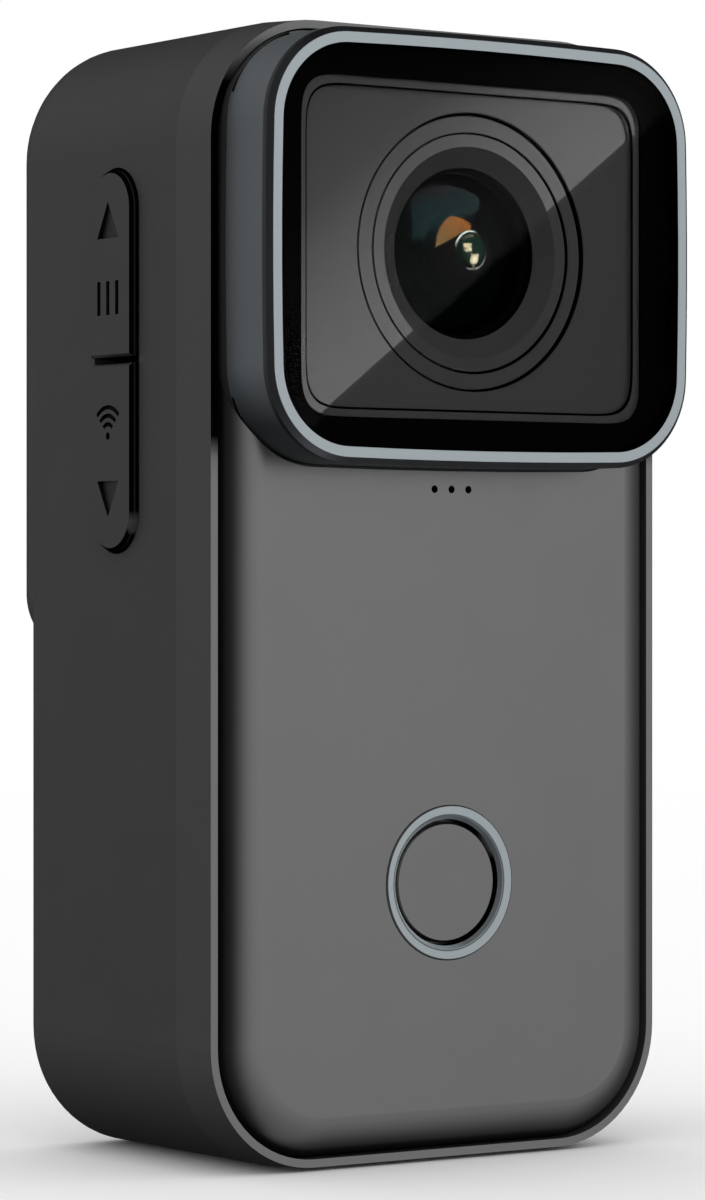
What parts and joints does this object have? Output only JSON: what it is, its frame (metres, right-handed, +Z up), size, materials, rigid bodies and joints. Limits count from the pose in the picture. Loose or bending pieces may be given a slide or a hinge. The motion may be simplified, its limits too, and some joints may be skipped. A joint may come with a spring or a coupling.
{
  "type": "action camera",
  "caption": "Thumb-size action camera: upright rounded body, square lens module with glass, front shutter button, two side buttons, rear display, hinged battery door and port cover.",
  "frame": {"origin": "centre of the tripod socket's mouth, in the middle of the flat bottom", "axes": "+Z up along the body's height, the lens faces -Y, the display faces +Y, the side buttons are on the -X side"},
  "size_m": [0.0381, 0.0315, 0.0772],
  "materials": {
    "housing_plastic": "fine matt texture",
    "cover_metal": "satin anodised dark grey",
    "frame_metal": "satin anodised blue-grey",
    "polished_trim": "polished edge",
    "clear_glass": "polished, coated",
    "lens_glass": "multi-coated",
    "black_film": "black print",
    "surround_plastic": "satin",
    "black_plastic": "matt",
    "black_metal": "black anodised",
    "board": "solder mask",
    "chip": "epoxy",
    "silicon": "sensor surface",
    "steel": "plain",
    "copper": "gold-plated",
    "rubber": "moulded silicone",
    "display_glass": "black-bordered cover glass",
    "display_panel": "LCD",
    "battery_wrap": "printed wrap",
    "brass": "machined"
  },
  "bodies": {
    "camera_body": {"antenna": "copper", "battery": "battery_wrap", "battery_bay": "black_plastic", "battery_contacts": "copper", "bezel_ring": "polished_trim", "board_screws": "steel", "card_socket": "steel", "cover_glass": "clear_glass", "display_flex": "copper", "display_gasket": "black_film", "display_glass": "display_glass", "display_panel": "display_panel", "door_pin": "steel", "front_board": "board", "front_cover": "cover_metal", "front_element": "lens_glass", "front_flex": "copper", "glass_gasket": "black_film", "heat_spreader": "steel", "image_sensor": "silicon", "ir_filter": "lens_glass", "lens_barrel": "black_metal", "lens_holder": "black_plastic", "lens_housing": "frame_metal", "lens_surround": "surround_plastic", "main_board": "board", "main_housing": "housing_plastic", "memory_card": "chip", "memory_chips": "chip", "mic_gasket": "rubber", "microphones": "steel", "port_cover_pin": "steel", "port_seal": "rubber", "processor": "chip", "rear_elements": "lens_glass", "retaining_ring": "black_metal", "second_element": "lens_glass", "sensor_board": "board", "shutter_ring": "polished_trim", "shutter_seal": "rubber", "shutter_switch": "chip", "side_board": "board", "side_button_pad": "rubber", "side_switches": "chip", "speaker": "black_plastic", "speaker_mesh": "steel", "tripod_insert": "brass", "usb_connector": "steel", "wireless_module": "steel"},
    "shutter_button": {"shutter_button": "cover_metal"},
    "upper_side_button": {"upper_button": "housing_plastic"},
    "lower_side_button": {"lower_button": "housing_plastic"},
    "battery_door": {"battery_door": "housing_plastic", "door_seal": "rubber"},
    "door_latch": {"door_latch": "black_plastic"},
    "port_cover": {"port_cover": "housing_plastic"}
  },
  "joints": [
    {"name": "shutter_press", "type": "slide", "parent": "camera_body", "child": "shutter_button", "axis": [0, 1, 0], "range_m": [0, 0.00035], "stiffness_N_per_m": 6000},
    {"name": "upper_button_press", "type": "slide", "parent": "camera_body", "child": "upper_side_button", "axis": [1, 0, 0], "range_m": [0, 0.0003], "stiffness_N_per_m": 6000},
    {"name": "lower_button_press", "type": "slide", "parent": "camera_body", "child": "lower_side_button", "axis": [1, 0, 0], "range_m": [0, 0.0003], "stiffness_N_per_m": 6000},
    {"name": "battery_door_hinge", "type": "hinge", "parent": "camera_body", "child": "battery_door", "pos_m": [-0.0146, 0.01035, 0.0194], "axis": [0, 0, 1], "range_deg": [0, 90]},
    {"name": "door_latch_slide", "type": "slide", "parent": "battery_door", "child": "door_latch", "axis": [1, 0, 0], "range_m": [0, 0.0018]},
    {"name": "port_cover_hinge", "type": "hinge", "parent": "camera_body", "child": "port_cover", "pos_m": [0.0179, 0.00545, 0.0544], "axis": [0, 0, 1], "range_deg": [0, 90]}
  ]
}
